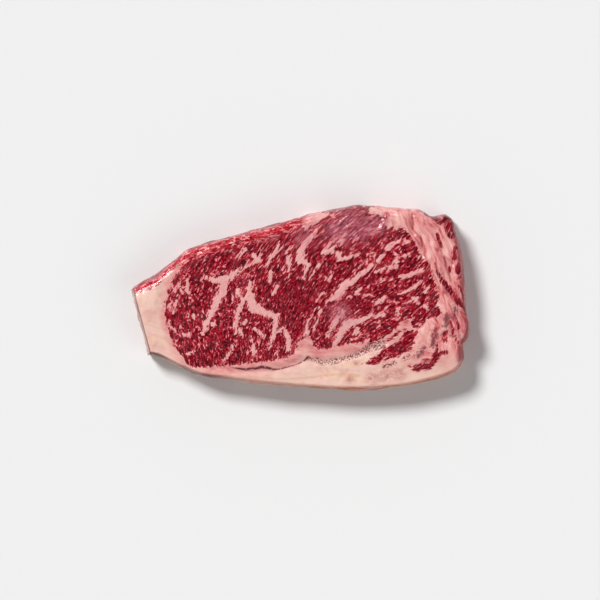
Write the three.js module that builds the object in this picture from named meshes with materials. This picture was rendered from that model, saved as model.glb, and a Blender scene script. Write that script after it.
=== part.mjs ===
// A raw sirloin steak lying flat, cut across the loin: one solid piece of meat.
// Millimetres, +Z up. X runs along the steak, from its narrow cut end to the thick fatty end,
// and Y runs across it, from the fat cap to the trimmed side. The origin is under the middle.
import * as THREE from "three";

// Driving dimensions
const THICKNESS = 20; // between the two cut faces, at the middle
const CROWN = 0.9; // how far the upper face stands higher at the middle than near its rim
const END_DROP = 1.6; // how much thinner the narrow cut end is
const END_DROP_START = 17; // how far from the middle that begins
const HALF_LENGTH = 85.8;
const HALF_WIDTH = 46.9;
const FAT_STEP = 0.5; // how far the firm fat stands proud of the softer lean
const FAT_STEP_REACH = [-1.5, 2.5]; // from where to where that rises, across the rim of the lean

// How finely the faces and the wall are divided
const COLUMNS = 58;
const ROWS = 32;
const WALL_STEPS = 6;
const NORMAL_SMOOTHING = 5; // passes that even out the wall's direction round tight corners
const SIDE_SMOOTHING = 3; // passes that even out the wall's section where two sides meet

// The four sides, each an edge as seen from above. shoulder and tuck are how far the upper and
// the lower face lie inside that edge, and widest is the height of the edge as a share of the wall.
// boxiness is the exponent of the wall's section: 1 is a slanted plane, 2 is round, more is squarer.
const FAT_CAP = {
  edge: [
    [-76.7, -29.4], [-71.3, -30.2], [-61.5, -35.2], [-50.3, -39.8], [-35.0, -41.8],
    [-17.1, -44.2], [0.7, -45.7], [18.6, -46.8], [34.6, -46.9], [53.6, -45.0],
    [71.9, -40.5], [77.7, -38.0], [80.8, -34.9],
  ],
  shoulder: 2.6,
  tuck: 2.0,
  widest: 0.42,
  boxiness: 2.7,
};
const THICK_END = {
  edge: [
    [80.8, -34.9], [82.1, -30.2], [81.9, -24.6], [84.6, -20.6], [85.8, -13.5],
    [83.7, -5.5], [83.1, 3.5], [82.1, 15.5], [80.3, 26.5], [78.4, 33.6],
    [76.9, 39.4], [73.2, 42.3],
  ],
  shoulder: 2.8,
  tuck: 1.8,
  widest: 0.4,
  boxiness: 2.7,
};
const TRIMMED_SIDE = {
  edge: [
    [73.2, 42.3], [66.2, 41.1], [59.0, 44.2], [44.6, 45.3], [36.1, 45.8], [28.6, 46.9],
    [18.6, 45.0], [7.9, 42.8], [-4.6, 39.2], [-17.1, 35.6], [-32.5, 31.8],
    [-47.7, 27.6], [-58.0, 22.7], [-66.0, 16.9], [-73.5, 10.8], [-79.8, 8.2], [-85.8, 4.2],
  ],
  shoulder: 4.2,
  tuck: 1.2,
  widest: 0.3,
  boxiness: 2.4,
};
const CUT_END = {
  edge: [[-85.8, 4.2], [-83.9, -3.0], [-81.5, -11.8], [-79.1, -20.6], [-76.7, -29.4]],
  shoulder: 2.4,
  tuck: 0.6,
  widest: 0.16,
  boxiness: 1.25,
};

// The rim of the lean eye of the steak, inside which the face lies FAT_STEP lower
const LEAN_RIM = [
  [-70.0, 4.0], [-72.0, -14.0], [-68.0, -27.0], [-59.0, -37.0], [-42.0, -35.5],
  [-22.0, -34.5], [0.0, -27.0], [22.0, -27.0], [46.0, -33.5], [57.0, -22.0],
  [66.0, -8.0], [62.0, 12.0], [53.0, 31.0], [42.0, 42.0], [22.0, 47.0],
  [-20.0, 38.0], [-50.0, 24.0],
];
// The seam under the lean, where the silverskin and the fat cap part a little
const SEAM = {
  path: [
    [-43.0, -35.6], [-30.0, -37.4], [-19.0, -37.0], [-7.5, -35.0], [1.5, -31.4],
    [12.5, -32.4], [25.0, -30.0], [36.0, -25.4], [42.5, -23.0],
  ],
  height: -0.7,
  width: 1.6,
};
// The corner where the trimmed side meets the cut end sags outwards
const SAG = { path: [[-85.5, 4.5], [-77.0, 9.8], [-67.0, 16.5]], height: -2.2, width: 4.6 };
// Folds (height above 0) and creases (below 0) of the soft fat at the thick end
const FOLDS = [
  { path: [[51.0, 40.0], [59.0, 27.0], [66.0, 12.0]], height: 1.1, width: 4.5 },
  { path: [[55.4, 42.5], [56.6, 31.5]], height: -1.1, width: 1.7 },
  { path: [[60.4, 30.5], [61.2, 21.0]], height: -0.8, width: 1.6 },
  { path: [[67.5, 25.0], [71.0, 10.0], [74.0, -3.0]], height: 1.2, width: 3.4 },
  { path: [[68.0, 33.5], [71.5, 24.0]], height: -0.9, width: 1.8 },
  { path: [[70.5, 10.5], [75.0, 2.0], [79.5, -5.0]], height: -1.0, width: 1.7 },
  { path: [[77.0, 31.0], [79.5, 12.0], [80.5, -1.0]], height: 0.9, width: 2.6 },
  { path: [[74.8, 37.0], [76.5, 17.0]], height: -0.8, width: 1.8 },
  { path: [[77.0, -9.0], [81.0, -17.0]], height: 1.0, width: 4.0 },
  { path: [[84.0, -23.5], [72.0, -19.0]], height: -1.4, width: 2.0 },
  { path: [[64.0, -33.0], [77.0, -29.0]], height: 0.8, width: 5.0 },
];
// Long soft swells of the cut face: height, wavelengths along X and Y, and phase
const SWELLS = [
  [0.36, 97, 83, 0.4],
  [0.2, 51, 44, 2.2],
  [0.12, 29, 34, 4.1],
];
// Unevenness of the wall: depth, waves round the steak, and how far they shift with height
const WALL_WAVES = [
  [0.38, 9, 1.1],
  [0.28, 17, -1.9],
  [0.18, 31, 2.6],
];

// Distance from a point to a chain of straight stretches
function distanceToPath(x, y, path) {
  let least = Infinity;
  for (let i = 0; i + 1 < path.length; i++) {
    const [ax, ay] = path[i];
    const [bx, by] = path[i + 1];
    const dx = bx - ax;
    const dy = by - ay;
    const along = THREE.MathUtils.clamp(
      ((x - ax) * dx + (y - ay) * dy) / (dx * dx + dy * dy), 0, 1,
    );
    least = Math.min(least, Math.hypot(x - ax - along * dx, y - ay - along * dy));
  }
  return least;
}

// Whether a point lies inside a closed outline
function isInside(x, y, rim) {
  let inside = false;
  for (let i = 0, j = rim.length - 1; i < rim.length; j = i++) {
    const [ax, ay] = rim[i];
    const [bx, by] = rim[j];
    if (ay > y !== by > y && x < ((bx - ax) * (y - ay)) / (by - ay) + ax) inside = !inside;
  }
  return inside;
}

// A ridge or groove along a path, with a bell-shaped section
function ridge(x, y, { path, height, width }) {
  const away = distanceToPath(x, y, path) / width;
  return height * Math.exp(-away * away);
}

// Height of the upper cut face over the board
function upperFace(x, y) {
  const round = (x / HALF_LENGTH) ** 2 + (y / HALF_WIDTH) ** 2;
  let z = THICKNESS - CROWN * round;
  z -= END_DROP * THREE.MathUtils.smoothstep(-x, END_DROP_START, HALF_LENGTH);
  const leanRim = distanceToPath(x, y, [...LEAN_RIM, LEAN_RIM[0]]);
  const intoFat = isInside(x, y, LEAN_RIM) ? -leanRim : leanRim;
  z += FAT_STEP * THREE.MathUtils.smoothstep(intoFat, ...FAT_STEP_REACH);
  for (const fold of [SEAM, SAG, ...FOLDS]) z += ridge(x, y, fold);
  for (const [height, alongX, alongY, phase] of SWELLS) {
    const wave = Math.cos((2 * Math.PI * y) / alongY - phase);
    z += height * Math.sin((2 * Math.PI * x) / alongX + phase) * wave;
  }
  return z;
}

// Points evenly spaced along a side's edge, without the last, which begins the next side
function walk(edge, steps) {
  const curve = new THREE.SplineCurve(edge.map(([x, y]) => new THREE.Vector2(x, y)));
  return curve.getSpacedPoints(steps).slice(0, -1);
}

// Evens out a closed row of vectors by averaging each with its neighbours
function smoothed(row, passes) {
  for (let pass = 0; pass < passes; pass++)
    row = row.map((p, i) =>
      p.clone().multiplyScalar(2).add(row.at(i - 1)).add(row[(i + 1) % row.length]).divideScalar(4),
    );
  return row;
}

// The steak's edge as seen from above, anticlockwise from the corner of the fat cap and the cut
// end: where each point is, which way is out, and the wall's section there
function perimeter() {
  const sides = [
    [FAT_CAP, COLUMNS],
    [THICK_END, ROWS],
    [TRIMMED_SIDE, COLUMNS],
    [CUT_END, ROWS],
  ];
  const places = sides.flatMap(([side, steps]) => walk(side.edge, steps));
  const sections = sides.flatMap(([{ shoulder, tuck, widest, boxiness }, steps]) =>
    Array.from({ length: steps }, () => new THREE.Vector4(shoulder, tuck, widest, boxiness)),
  );
  const outwards = places.map((_, i) => {
    const along = places[(i + 1) % places.length].clone().sub(places.at(i - 1));
    return new THREE.Vector2(along.y, -along.x).normalize();
  });
  const even = smoothed(outwards, NORMAL_SMOOTHING).map((v) => v.normalize());
  const section = smoothed(sections, SIDE_SMOOTHING);
  return places.map((place, i) => ({
    place,
    out: even[i],
    shoulder: section[i].x,
    tuck: section[i].y,
    widest: section[i].z,
    boxiness: section[i].w,
    turn: (2 * Math.PI * i) / places.length,
  }));
}

// How far the wall stands in or out from its smooth section, none at the two faces
function wallUnevenness(turn, height) {
  const amount = Math.sin(Math.PI * height);
  return WALL_WAVES.reduce(
    (sum, [depth, waves, shift]) => sum + depth * Math.sin(waves * turn + shift * height * Math.PI),
    0,
  ) * amount;
}

// A ring of the wall, from step 0 on the upper face to WALL_STEPS on the lower one
function wallRing(rim, step) {
  const angle = (Math.PI / 2) * (1 - (2 * step) / WALL_STEPS);
  return rim.map(({ place, out, shoulder, tuck, widest, boxiness, turn }) => {
    const level = Math.abs(Math.sin(angle)) ** (2 / boxiness) * Math.sign(angle);
    const reach = Math.abs(Math.cos(angle)) ** (2 / boxiness);
    const edge = place.clone().addScaledVector(out, -shoulder);
    const full = upperFace(edge.x, edge.y);
    const height = level >= 0 ? widest + (1 - widest) * level : widest * (1 + level);
    const inset = (level >= 0 ? shoulder : tuck) * (1 - reach);
    const ends = step === 0 || step === WALL_STEPS;
    const uneven = ends ? 0 : wallUnevenness(turn, height) - WALL_WAVES[0][0];
    const at = place.clone().addScaledVector(out, uneven - inset);
    return new THREE.Vector3(at.x, at.y, height * full);
  });
}

// A face spread between the four sides of its rim, as a grid of points at their height
function faceGrid(ring, heightAt) {
  const corner = [0, COLUMNS, COLUMNS + ROWS, 2 * COLUMNS + ROWS].map((i) => ring[i]);
  const bottom = (i) => ring[i];
  const right = (j) => ring[COLUMNS + j];
  const top = (i) => ring[2 * COLUMNS + ROWS - i];
  const left = (j) => ring[(ring.length - j) % ring.length];
  const grid = [];
  for (let j = 0; j <= ROWS; j++)
    for (let i = 0; i <= COLUMNS; i++) {
      const u = i / COLUMNS;
      const v = j / ROWS;
      const p = new THREE.Vector3()
        .addScaledVector(bottom(i), 1 - v)
        .addScaledVector(top(i), v)
        .addScaledVector(left(j), 1 - u)
        .addScaledVector(right(j), u)
        .addScaledVector(corner[0], -(1 - u) * (1 - v))
        .addScaledVector(corner[1], -u * (1 - v))
        .addScaledVector(corner[2], -u * v)
        .addScaledVector(corner[3], -(1 - u) * v);
      p.z = heightAt(p.x, p.y);
      grid.push(p);
    }
  return grid;
}

// Place in a face's grid of each point of its rim, in the ring's order
function rimOfGrid() {
  const at = (i, j) => j * (COLUMNS + 1) + i;
  const places = [];
  for (let i = 0; i < COLUMNS; i++) places.push(at(i, 0));
  for (let j = 0; j < ROWS; j++) places.push(at(COLUMNS, j));
  for (let i = COLUMNS; i > 0; i--) places.push(at(i, ROWS));
  for (let j = ROWS; j > 0; j--) places.push(at(0, j));
  return places;
}

// The whole steak as one closed skin: upper face, wall and lower face
function steakGeometry() {
  const rim = perimeter();
  const rings = Array.from({ length: WALL_STEPS + 1 }, (_, step) => wallRing(rim, step));
  const upper = faceGrid(rings[0], upperFace);
  const lower = faceGrid(rings[WALL_STEPS], () => 0);
  const points = [...upper, ...rings.slice(1, WALL_STEPS).flat(), ...lower];
  const lowerStart = points.length - lower.length;

  const triangles = [];
  const quad = (a, b, c, d) => triangles.push(a, b, c, a, c, d);
  for (let j = 0; j < ROWS; j++)
    for (let i = 0; i < COLUMNS; i++) {
      const a = j * (COLUMNS + 1) + i;
      const d = a + COLUMNS + 1;
      quad(a, a + 1, d + 1, d);
      quad(lowerStart + d, lowerStart + d + 1, lowerStart + a + 1, lowerStart + a);
    }
  const gridRim = rimOfGrid();
  const ringIndex = (step, i) => {
    if (step === 0) return gridRim[i];
    if (step === WALL_STEPS) return lowerStart + gridRim[i];
    return upper.length + (step - 1) * rim.length + i;
  };
  for (let step = 0; step < WALL_STEPS; step++)
    for (let i = 0; i < rim.length; i++) {
      const next = (i + 1) % rim.length;
      quad(ringIndex(step, next), ringIndex(step, i), ringIndex(step + 1, i), ringIndex(step + 1, next));
    }

  const geometry = new THREE.BufferGeometry().setFromPoints(points);
  geometry.setIndex(triangles);
  geometry.computeVertexNormals();
  return geometry;
}

const rawBeef = new THREE.MeshStandardMaterial({ color: 0xa8434a, roughness: 0.35, metalness: 0 });
const steak = new THREE.Mesh(steakGeometry(), rawBeef);
steak.name = "steak";

const part = new THREE.Group();
part.add(steak);

export default part;
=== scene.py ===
"""A raw sirloin steak lying flat on a pale floor, seen from straight above.

One closed mesh replaces the plain solid and keeps its form. Its skin carries fields that are
worked out from the places of the muscles and of the fat, and one node material paints the
marbled lean, the fat and the wet gloss from them. Places on the meat are in millimetres,
X along the steak and Y across it; Blender's own units are metres.
"""

import math

import bpy
import numpy as np
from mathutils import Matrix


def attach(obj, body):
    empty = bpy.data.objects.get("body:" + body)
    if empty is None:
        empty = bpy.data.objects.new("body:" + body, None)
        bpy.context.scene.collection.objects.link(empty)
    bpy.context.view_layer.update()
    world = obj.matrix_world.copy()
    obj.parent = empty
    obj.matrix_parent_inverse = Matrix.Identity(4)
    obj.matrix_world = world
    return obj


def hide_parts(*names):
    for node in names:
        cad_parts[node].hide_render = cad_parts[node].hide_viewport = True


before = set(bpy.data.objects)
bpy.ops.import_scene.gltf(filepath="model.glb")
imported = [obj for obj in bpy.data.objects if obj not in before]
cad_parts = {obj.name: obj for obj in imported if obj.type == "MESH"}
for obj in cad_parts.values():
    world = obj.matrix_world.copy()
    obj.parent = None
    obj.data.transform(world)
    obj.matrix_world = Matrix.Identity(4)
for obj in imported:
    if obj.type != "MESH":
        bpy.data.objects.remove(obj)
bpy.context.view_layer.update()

MM = 0.001

# The picture, in metres: the frame's width at the cut face, its middle in Y, and half the floor
FRAME_WIDTH = 0.300
FRAME_MIDDLE = -0.0015
FLOOR_HALF = 3.0
# Heights in the sky, from 0 to 1, between which the light passes from around to overhead
OVERHEAD_BETWEEN = (0.55, 0.95)

# The form, as the plain solid has it: its thickness, how far the face falls towards its rim, its
# further fall to the cut end and where that starts, half its size, and the fat's step up
THICKNESS = 20.0
CROWN = 0.9
END_DROP = 1.6
END_DROP_START = 17.0
HALF_LENGTH = 85.8
HALF_WIDTH = 46.9
FAT_STEP = 0.5
FAT_STEP_REACH = (-1.5, 2.5)
# How far along the edge the wall's outward directions and the sides' sections are evened out, and
# after how many times that reach the average stops
NORMAL_REACH = 4.5
SIDE_REACH = 3.5
AVERAGE_STOP = 2.5
# Places worked out on each stretch of the edge's curve
CURVE_STEPS = 40

# The four sides: the edge from above, then how far the upper and the lower face lie inside it,
# its height as a share of the wall, and how square the wall's section is
FAT_CAP = {
    "edge": [
        (-76.7, -29.4), (-71.3, -30.2), (-61.5, -35.2), (-50.3, -39.8), (-35.0, -41.8),
        (-17.1, -44.2), (0.7, -45.7), (18.6, -46.8), (34.6, -46.9), (53.6, -45.0),
        (71.9, -40.5), (77.7, -38.0), (80.8, -34.9),
    ],
    "section": (2.6, 2.0, 0.42, 2.7),
}
THICK_END = {
    "edge": [
        (80.8, -34.9), (82.1, -30.2), (81.9, -24.6), (84.6, -20.6), (85.8, -13.5),
        (83.7, -5.5), (83.1, 3.5), (82.1, 15.5), (80.3, 26.5), (78.4, 33.6),
        (76.9, 39.4), (73.2, 42.3),
    ],
    "section": (2.8, 1.8, 0.4, 2.7),
}
TRIMMED_SIDE = {
    "edge": [
        (73.2, 42.3), (66.2, 41.1), (59.0, 44.2), (44.6, 45.3), (36.1, 45.8), (28.6, 46.9),
        (18.6, 45.0), (7.9, 42.8), (-4.6, 39.2), (-17.1, 35.6), (-32.5, 31.8),
        (-47.7, 27.6), (-58.0, 22.7), (-66.0, 16.9), (-73.5, 10.8), (-79.8, 8.2), (-85.8, 4.2),
    ],
    "section": (4.2, 1.2, 0.3, 2.4),
}
CUT_END = {
    "edge": [(-85.8, 4.2), (-83.9, -3.0), (-81.5, -11.8), (-79.1, -20.6), (-76.7, -29.4)],
    "section": (2.4, 0.6, 0.16, 1.25),
}
# Rough outline of the lean, outside which the fat has its step up
LEAN_RIM = [
    (-70.0, 4.0), (-72.0, -14.0), (-68.0, -27.0), (-59.0, -37.0), (-42.0, -35.5),
    (-22.0, -34.5), (0.0, -27.0), (22.0, -27.0), (46.0, -33.5), (57.0, -22.0),
    (66.0, -8.0), (62.0, 12.0), (53.0, 31.0), (42.0, 42.0), (22.0, 47.0),
    (-20.0, 38.0), (-50.0, 24.0),
]
# The groove between the lean and the fat cap
SEAM_GROOVE = [
    (-43.0, -35.6), (-30.0, -37.4), (-19.0, -37.0), (-7.5, -35.0), (1.5, -31.4),
    (12.5, -32.4), (25.0, -30.0), (36.0, -25.4), (42.5, -23.0),
]
# Ridges and creases of the upper face: path, height and width
FOLDS = [
    (SEAM_GROOVE, -0.7, 1.6),
    ([(-85.5, 4.5), (-77.0, 9.8), (-67.0, 16.5)], -2.2, 4.6),
    ([(51.0, 40.0), (59.0, 27.0), (66.0, 12.0)], 1.1, 4.5),
    ([(55.4, 42.5), (56.6, 31.5)], -1.1, 1.7),
    ([(60.4, 30.5), (61.2, 21.0)], -0.8, 1.6),
    ([(67.5, 25.0), (71.0, 10.0), (74.0, -3.0)], 1.2, 3.4),
    ([(68.0, 33.5), (71.5, 24.0)], -0.9, 1.8),
    ([(70.5, 10.5), (75.0, 2.0), (79.5, -5.0)], -1.0, 1.7),
    ([(77.0, 31.0), (79.5, 12.0), (80.5, -1.0)], 0.9, 2.6),
    ([(74.8, 37.0), (76.5, 17.0)], -0.8, 1.8),
    ([(77.0, -9.0), (81.0, -17.0)], 1.0, 4.0),
    ([(84.0, -23.5), (72.0, -19.0)], -1.4, 2.0),
    ([(64.0, -33.0), (77.0, -29.0)], 0.8, 5.0),
]
# Beads of juice that catch the light, given in the same way
WET_BEADS = [
    ([(43.0, 39.4), (41.2, 34.6)], 0.8, 1.3),
    ([(40.4, 33.4), (39.2, 30.4)], 0.6, 1.1),
    ([(-27.4, 29.4), (-24.2, 30.2)], 0.6, 1.2),
    ([(-48.8, 21.4), (-47.6, 21.0)], 0.5, 1.0),
    ([(11.6, -10.2), (12.6, -13.4)], 0.5, 1.0),
    ([(-8.4, 33.4), (-6.0, 34.6)], 0.5, 1.0),
    ([(20.6, 37.6), (24.4, 39.6)], 0.3, 0.8),
    ([(24.0, 35.0), (28.4, 35.6)], 0.3, 0.8),
]
# The wettest slope of the meat: along it, its place and half its width
WET_SLOPE = [
    (-82.0, 2.2, 0.8), (-78.2, 3.8, 1.8), (-73.6, 6.0, 2.2), (-69.2, 9.2, 1.6), (-65.6, 13.6, 0.8),
]
# Broad swells of the upper face: height, length along X and along Y, and phase
SWELLS = [(0.36, 97, 83, 0.4), (0.2, 51, 44, 2.2), (0.12, 29, 34, 4.1)]
# Waves of the wall: depth, number around the steak, and how they lean on their way up
WALL_WAVES = [(0.38, 9, 1.1), (0.28, 17, -1.9), (0.18, 31, 2.6)]
# How far the uneven wall is set in, so that its waves stay near the plain solid's
WALL_INSET = 0.38
# Columns and rows of random heights before a noise repeats, and how many of them the wall takes up
NOISE_TABLE = (97, 89)
WALL_NOISE_ROWS = 9
# Drift of the seams on their way down: its reach, the distance it varies over, and its mean
DRIFT = 2.2
DRIFT_SPAN = 14
DRIFT_MEAN = (1.2, -1.0)

# How finely the skin is divided
COLUMNS = 286
ROWS = 152
WALL_STEPS = 13
# Where the skin's parts lie when it is laid flat in a square: left, bottom, right and top
UPPER_CHART = (0.005, 0.545, 0.995, 0.995)
LOWER_CHART = (0.005, 0.005, 0.995, 0.205)
WALL_CHARTS = [
    (0.005, 0.435, 0.995, 0.535), (0.005, 0.215, 0.62, 0.315),
    (0.005, 0.325, 0.995, 0.425), (0.64, 0.215, 0.995, 0.315),
]

# Where the muscles end and the fat begins, on the upper face
EYE = [
    (-58.5, 17), (-62, 10.5), (-65, 6.5), (-66, 2.5), (-67.3, -4), (-67.5, -9), (-66.5, -14),
    (-64.5, -20.5), (-61.5, -26.5), (-58, -31), (-55, -34.5), (-52, -35.5), (-44, -34.8),
    (-35, -34), (-25.5, -33), (-13, -31.8), (-6, -30.5), (-3, -28), (-1, -23.5), (1.8, -20.3),
    (4, -19), (5.5, -21), (6.5, -23.5), (8.5, -26.5), (12, -26.3), (18, -24.5), (22.5, -23.8),
    (30, -22.8), (37.5, -22), (44, -20.4), (49, -16.5), (49.7, -13.3), (53.7, -10.9),
    (55.7, -11.7), (55.7, -15.3), (59.3, -16), (62, -13.7), (63.3, -10.9), (67, -10),
    (69, -10), (70.5, -8), (69.7, -5.7), (68, -3.7), (69, -0.5), (69, 2.7), (66.5, 9.5),
    (65.5, 13.5), (64, 17), (61, 19.5), (59.5, 23), (57.5, 27), (54, 32), (51, 35),
    (48.5, 33.8), (45.8, 35.4), (44.5, 34), (42.5, 36.5), (43.3, 40), (39, 41), (34.5, 41.3),
    (34.5, 43.7), (38, 46), (34, 56), (0, 52), (-30, 42), (-48, 33), (-56, 24),
]
SMALL_MUSCLE = [
    (52.5, -16), (56.5, -16.5), (59.3, -17.2), (59, -20.5), (55.5, -26), (49, -29.5),
    (44, -31.5), (37.5, -33.2), (33, -33.2), (35.5, -30.8), (40, -28.5), (41, -26),
    (47.5, -23.5), (50.5, -20),
]
# The thicker fat seams of the marbling: along each, its place and half its width
FAT_SEAMS = [
    [(-47, 9.8, 0.9), (-41.5, 8.3, 1.6), (-36, 9, 2.0), (-31, 12.8, 1.3), (-29, 15, 0.6)],
    [(-38, 6, 2.0), (-41, -1.5, 2.0), (-44, -7.5, 1.6), (-46.5, -13, 1.6), (-50, -21.5, 0.5)],
    [(-25, 8, 0.4), (-25.2, 3.5, 1.6), (-25, 0, 2.4), (-23.5, -5, 2.6), (-17, -8, 2.0)],
    [(-17, -8, 2.0), (-12, -10, 1.5), (-13, -18, 1.2), (-14.5, -23, 0.9), (-15.3, -26, 0.4)],
    [(-28.5, -1.5, 1.3), (-30.8, -7.5, 1.2), (-32.2, -14, 1.3), (-32, -18, 0.8)],
    [(-31, 2.3, 1.4), (-31, 1.8, 1.4)],
    [(-30.5, -16.5, 1.3), (-29.5, -18, 1.2)],
    [(-43.5, -13.3, 1.1), (-43.5, -14.5, 1.2)],
    [(-59.8, 7.8, 0.5), (-59.3, 2, 1.0)],
    [(-56.5, 8.5, 0.4), (-56, 3, 1.0)],
    [(-60.2, 0.7, 0.7), (-62, -3.5, 1.0), (-63.5, -8, 0.5)],
    [(-53.2, -9, 1.1), (-52.8, -10, 1.1)],
    [(-65.5, -14.5, 0.5), (-62, -16.5, 0.9)],
    [(-58.5, -18.5, 0.8), (-55.5, -19, 0.9)],
    [(-33, -24, 1.0), (-34.4, -27, 0.7), (-37.8, -31.5, 0.8)],
    [(-56, -28.8, 0.4), (-52.7, -27, 0.5)],
    [(-27.7, 23.6, 0.9), (-30, 19.5, 0.6)],
    [(-23, 20.5, 1.2), (-21.5, 18.5, 1.6)],
    [(-10, 27.5, 0.4), (-14, 20.2, 1.1), (-17.4, 14.9, 0.7)],
    [(-5.5, 20, 1.2), (-5.5, 15, 0.8), (-5.8, 10.3, 0.5)],
    [(-14.7, 12, 1.1), (-14.7, 6.5, 0.4)],
    [(-11.7, 5.2, 0.9), (-13.5, 1.5, 0.8)],
    [(10.5, 36.7, 0.5), (6.8, 31.3, 0.9), (2.5, 26.3, 1.6), (0, 22.5, 2.1), (0, 18, 1.9)],
    [(0, 19, 1.9), (4, 16, 1.2), (1.8, 9.5, 0.5)],
    [(3, 35, 1.5), (3.5, 37.5, 2.4), (8.5, 40, 2.8), (14, 41.8, 0.8)],
    [(-23, -16, 0.7), (-17.8, -19.8, 0.6)],
    [(-27.7, -12, 1.1), (-27.7, -13, 1.0)],
    [(-24, -21.5, 0.5), (-22.8, -28, 1.1)],
    [(-7, -17, 1.3), (-5.5, -21.8, 1.4), (-6, -26.5, 1.3)],
    [(-10.5, -17, 1.1), (-7, -14.8, 0.6)],
    [(9, -4, 0.3), (4.5, -11.5, 0.5), (3.3, -14.5, 0.7), (3.5, -18, 1.2)],
    [(11.7, 17.9, 0.7), (6.8, 12.2, 0.6), (4.5, 9.5, 0.3)],
    [(14.3, 8, 0.5), (16, 12, 0.7)],
    [(11.3, 2.4, 0.8), (8.3, -2.6, 0.5)],
    [(10.5, -7.2, 0.8), (6.8, -15.7, 0.6)],
    [(21.7, -7.6, 1.0), (17, -13.4, 1.2), (13.6, -19.5, 0.7)],
    [(36, 15.4, 1.3), (27.4, 9, 1.3), (22.5, 6, 1.8), (20.5, 3, 2.0), (16.5, -1, 1.5)],
    [(22.8, 31.3, 0.8), (19, 25.5, 1.0)],
    [(11.7, 22.1, 1.3), (15.5, 23.6, 1.4), (17, 25.5, 0.6)],
    [(19.3, 21.7, 1.2), (19.7, 18.6, 1.4), (25, 20, 0.8), (30, 22, 0.8)],
    [(43.7, 24.6, 1.0), (49.7, 27.7, 0.9), (51, 29.5, 0.5)],
    [(41.7, 21.4, 0.9), (38.5, 17.4, 0.7)],
    [(45.7, 15.8, 0.7), (38, 12.6, 0.9)],
    [(48.5, 20.6, 0.9), (48.5, 15.4, 1.0)],
    [(52, 20.5, 0.8), (54, 21.5, 1.0), (55.7, 19.8, 0.5), (60, 20.2, 0.4)],
    [(51, 10, 1.4), (56, 11.4, 1.1), (61, 13.4, 0.8)],
    [(40.5, 7.8, 0.9), (42.5, 8.7, 0.9)],
    [(57.7, 5.4, 0.9), (53.5, 3, 0.5), (49, 1, 0.7)],
    [(64, 4.6, 0.9), (62.5, 2.2, 0.8)],
    [(30.2, 4.2, 0.8), (28.2, 1.5, 0.8)],
    [(42, -0.5, 0.8), (41, -1.7, 1.3), (37, -3, 0.8)],
    [(56.5, 0, 1.0), (58, -1, 1.4), (59, -3.5, 0.6)],
    [(63, -5, 1.2), (63.5, -5.8, 1.2)],
    [(49, -6, 1.0), (49, -7, 0.8)],
    [(42, -8.5, 1.0), (38, -10, 0.8)],
    [(35.7, -9.3, 1.0), (30, -11.8, 1.5), (25.5, -12.8, 2.2), (23, -14.5, 2.2)],
    [(23, -14.5, 2.2), (20, -19, 1.6), (17.5, -23.3, 1.0)],
    [(29, -16.5, 1.1), (26.6, -18.8, 0.8)],
    [(56, -11, 0.8), (53, -13.2, 2.4), (49, -16.5, 1.6), (44, -20.5, 1.4), (40, -23, 1.2)],
]
# Red meat left in the fat, given like the seams: at the thick end, by the small muscle and along
# the wedge at the left end of the trimmed side
RED_FLECKS = [
    [(63.5, 41.6, 0.8), (67.5, 40, 1.6), (70.5, 37.5, 1.4)],
    [(73.6, 41, 2.6), (74.6, 37, 3.6), (76, 31.5, 2.4)],
    [(77.8, 24.5, 1.2), (76.8, 19.3, 1.2)],
    [(78.8, 15.5, 1.5), (79, 12.8, 1.4)],
    [(74.8, 14.6, 1.0), (74.8, 13.3, 1.0)],
    [(80.3, 9.7, 0.6), (79.2, 9.4, 0.7)],
    [(68.2, 12.5, 0.5), (71.5, 8.0, 1.2), (75, 3.2, 1.4), (78.7, -1.5, 1.1), (83, -7.2, 0.7)],
    [(79.6, 5.4, 0.8), (82.0, -0.8, 0.8)],
    [(69, 31, 0.5), (70.2, 25, 0.6)],
    [(72.8, -17.5, 0.8), (72.6, -21.5, 1.3)],
    [(75.4, -12.0, 0.4), (76.6, -18.5, 0.6)],
    [(73.4, -27.6, 0.5), (70.4, -27.8, 1.1), (67.4, -30.6, 1.6), (65.4, -34.0, 1.5)],
    [(64.8, -34.8, 1.6), (61.0, -34.6, 1.8), (57.6, -36.0, 1.2)],
    [(68.6, -23.0, 0.6), (69.0, -26.5, 1.2), (67.6, -29.5, 1.2)],
    [(63.6, -31.4, 0.5), (60.6, -33.2, 0.7)],
    [(49.8, -16.8, 0.4), (47.6, -19, 0.9), (45, -21.2, 0.7), (41.8, -22.8, 0.3)],
    [(77.6, -20.2, 0.5), (79.4, -23.4, 0.6)],
    [(40, -32.9, 0.4), (35.5, -33.3, 0.3), (31, -33.1, 0.0)],
    [(39, -30.4, 0.4), (35, -31.2, 0.2)],
    [(54.6, -34.6, 0.4), (55.4, -35.4, 0.4)],
    [(80, -7.3, 0.6), (82.8, -8.9, 0.6)],
    [(78, -9, 0.5), (79.5, -15.5, 0.5)],
    [(-85, 2.9, 1.2), (-79, 5.6, 3.2), (-73, 8.8, 3.4), (-66, 14.5, 2.2), (-60, 19.5, 1.4)],
]
# Painted shade, dark red, in the creases of the fat at the thick end
SHADED_CREASES = [
    [(56, 41.5), (56.6, 37), (56.3, 34)],
    [(60.3, 30.5), (61.2, 25.5)],
    [(68.8, 32), (69.6, 28), (71, 24.5)],
    [(67.5, 17), (69, 12), (71.5, 8), (73.5, 2)],
    [(72, 20), (73.5, 14), (75.5, 8)],
    [(77.5, 4), (80, -2), (82.5, -5)],
    [(73.5, -8), (75.5, -14), (76.5, -20)],
]
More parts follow.
